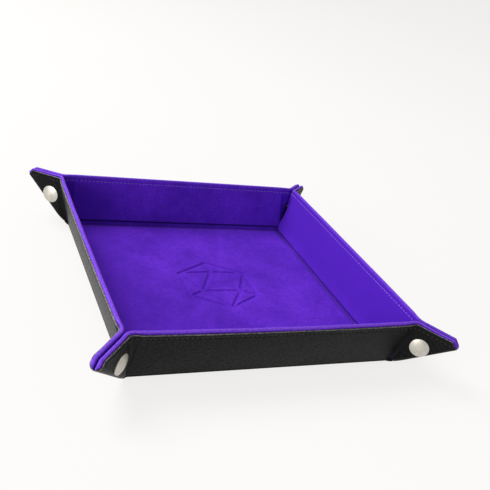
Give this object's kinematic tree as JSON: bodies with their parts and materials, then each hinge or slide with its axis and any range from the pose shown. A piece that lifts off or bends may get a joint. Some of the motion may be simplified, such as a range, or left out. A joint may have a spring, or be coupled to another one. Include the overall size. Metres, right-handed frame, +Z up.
{
  "type": "folding dice tray",
  "caption": "Square velvet-lined dice tray with four fold-up walls and snapped corner fins; it unsnaps to lie flat.",
  "frame": {"origin": "centre of the leatherette's underside, on the surface the tray stands on", "axes": "+Z up out of the tray, -Y out through the front wall, +X out through the right wall"},
  "size_m": [0.2352, 0.2352, 0.0374],
  "materials": {
    "leatherette": "pebbled black leatherette, low sheen",
    "velvet": "short-pile purple velvet",
    "greyboard": "uncoated greyboard, hidden",
    "foam": "thin closed-cell foam, hidden",
    "nickel": "satin nickel plate"
  },
  "bodies": {
    "base": {"floor_leather": "leatherette", "floor_board": "greyboard", "floor_velvet": "velvet"},
    "front_wall": {"front_wall_leather": "leatherette", "front_wall_board": "greyboard", "front_wall_velvet": "velvet"},
    "right_wall": {"right_wall_leather": "leatherette", "right_wall_board": "greyboard", "right_wall_velvet": "velvet"},
    "back_wall": {"back_wall_leather": "leatherette", "back_wall_board": "greyboard", "back_wall_velvet": "velvet"},
    "left_wall": {"left_wall_leather": "leatherette", "left_wall_board": "greyboard", "left_wall_velvet": "velvet"},
    "front_right_gusset": {"front_right_gusset_leather": "leatherette", "front_right_gusset_foam": "foam", "front_right_gusset_velvet": "velvet", "front_right_snap_cap": "nickel", "front_right_snap_socket": "nickel"},
    "front_left_gusset": {"front_left_gusset_leather": "leatherette", "front_left_gusset_foam": "foam", "front_left_gusset_velvet": "velvet", "front_left_snap_cap": "nickel", "front_left_snap_stud": "nickel"},
    "right_back_gusset": {"right_back_gusset_leather": "leatherette", "right_back_gusset_foam": "foam", "right_back_gusset_velvet": "velvet", "right_back_snap_cap": "nickel", "right_back_snap_socket": "nickel"},
    "right_front_gusset": {"right_front_gusset_leather": "leatherette", "right_front_gusset_foam": "foam", "right_front_gusset_velvet": "velvet", "right_front_snap_cap": "nickel", "right_front_snap_stud": "nickel"},
    "back_left_gusset": {"back_left_gusset_leather": "leatherette", "back_left_gusset_foam": "foam", "back_left_gusset_velvet": "velvet", "back_left_snap_cap": "nickel", "back_left_snap_socket": "nickel"},
    "back_right_gusset": {"back_right_gusset_leather": "leatherette", "back_right_gusset_foam": "foam", "back_right_gusset_velvet": "velvet", "back_right_snap_cap": "nickel", "back_right_snap_stud": "nickel"},
    "left_front_gusset": {"left_front_gusset_leather": "leatherette", "left_front_gusset_foam": "foam", "left_front_gusset_velvet": "velvet", "left_front_snap_cap": "nickel", "left_front_snap_socket": "nickel"},
    "left_back_gusset": {"left_back_gusset_leather": "leatherette", "left_back_gusset_foam": "foam", "left_back_gusset_velvet": "velvet", "left_back_snap_cap": "nickel", "left_back_snap_stud": "nickel"}
  },
  "joints": [
    {"name": "front_wall_fold", "type": "hinge", "parent": "base", "child": "front_wall", "pos_m": [0, -0.089, 0], "axis": [1, 0, 0], "range_deg": [0, 73.6]},
    {"name": "right_wall_fold", "type": "hinge", "parent": "base", "child": "right_wall", "pos_m": [0.089, 0, 0], "axis": [0, 1, 0], "range_deg": [0, 73.6]},
    {"name": "back_wall_fold", "type": "hinge", "parent": "base", "child": "back_wall", "pos_m": [0, 0.089, 0], "axis": [-1, 0, 0], "range_deg": [0, 73.6]},
    {"name": "left_wall_fold", "type": "hinge", "parent": "base", "child": "left_wall", "pos_m": [-0.089, 0, 0], "axis": [0, -1, 0], "range_deg": [0, 73.6]},
    {"name": "front_right_gusset_fold", "type": "hinge", "parent": "front_wall", "child": "front_right_gusset", "pos_m": [0.08363, -0.089, 0], "axis": [0.2717, -0.2717, 0.9232], "range_deg": [0, 47.4]},
    {"name": "front_left_gusset_fold", "type": "hinge", "parent": "front_wall", "child": "front_left_gusset", "pos_m": [-0.08363, -0.089, 0], "axis": [0.2717, 0.2717, -0.9232], "range_deg": [0, 47.4]},
    {"name": "right_back_gusset_fold", "type": "hinge", "parent": "right_wall", "child": "right_back_gusset", "pos_m": [0.089, 0.08363, 0], "axis": [0.2717, 0.2717, 0.9232], "range_deg": [0, 47.4]},
    {"name": "right_front_gusset_fold", "type": "hinge", "parent": "right_wall", "child": "right_front_gusset", "pos_m": [0.089, -0.08363, 0], "axis": [-0.2717, 0.2717, -0.9232], "range_deg": [0, 47.4]},
    {"name": "back_left_gusset_fold", "type": "hinge", "parent": "back_wall", "child": "back_left_gusset", "pos_m": [-0.08363, 0.089, 0], "axis": [-0.2717, 0.2717, 0.9232], "range_deg": [0, 47.4]},
    {"name": "back_right_gusset_fold", "type": "hinge", "parent": "back_wall", "child": "back_right_gusset", "pos_m": [0.08363, 0.089, 0], "axis": [-0.2717, -0.2717, -0.9232], "range_deg": [0, 47.4]},
    {"name": "left_front_gusset_fold", "type": "hinge", "parent": "left_wall", "child": "left_front_gusset", "pos_m": [-0.089, -0.08363, 0], "axis": [-0.2717, -0.2717, 0.9232], "range_deg": [0, 47.4]},
    {"name": "left_back_gusset_fold", "type": "hinge", "parent": "left_wall", "child": "left_back_gusset", "pos_m": [-0.089, 0.08363, 0], "axis": [0.2717, -0.2717, -0.9232], "range_deg": [0, 47.4]}
  ],
  "couplings": [
    {"joint": "right_wall_fold", "follows": "front_wall_fold", "ratio": 1},
    {"joint": "back_wall_fold", "follows": "front_wall_fold", "ratio": 1},
    {"joint": "left_wall_fold", "follows": "front_wall_fold", "ratio": 1},
    {"joint": "front_right_gusset_fold", "follows": "front_wall_fold", "ratio": 0.64248},
    {"joint": "front_left_gusset_fold", "follows": "front_wall_fold", "ratio": 0.64248},
    {"joint": "right_back_gusset_fold", "follows": "front_wall_fold", "ratio": 0.64248},
    {"joint": "right_front_gusset_fold", "follows": "front_wall_fold", "ratio": 0.64248},
    {"joint": "back_left_gusset_fold", "follows": "front_wall_fold", "ratio": 0.64248},
    {"joint": "back_right_gusset_fold", "follows": "front_wall_fold", "ratio": 0.64248},
    {"joint": "left_front_gusset_fold", "follows": "front_wall_fold", "ratio": 0.64248},
    {"joint": "left_back_gusset_fold", "follows": "front_wall_fold", "ratio": 0.64248}
  ]
}
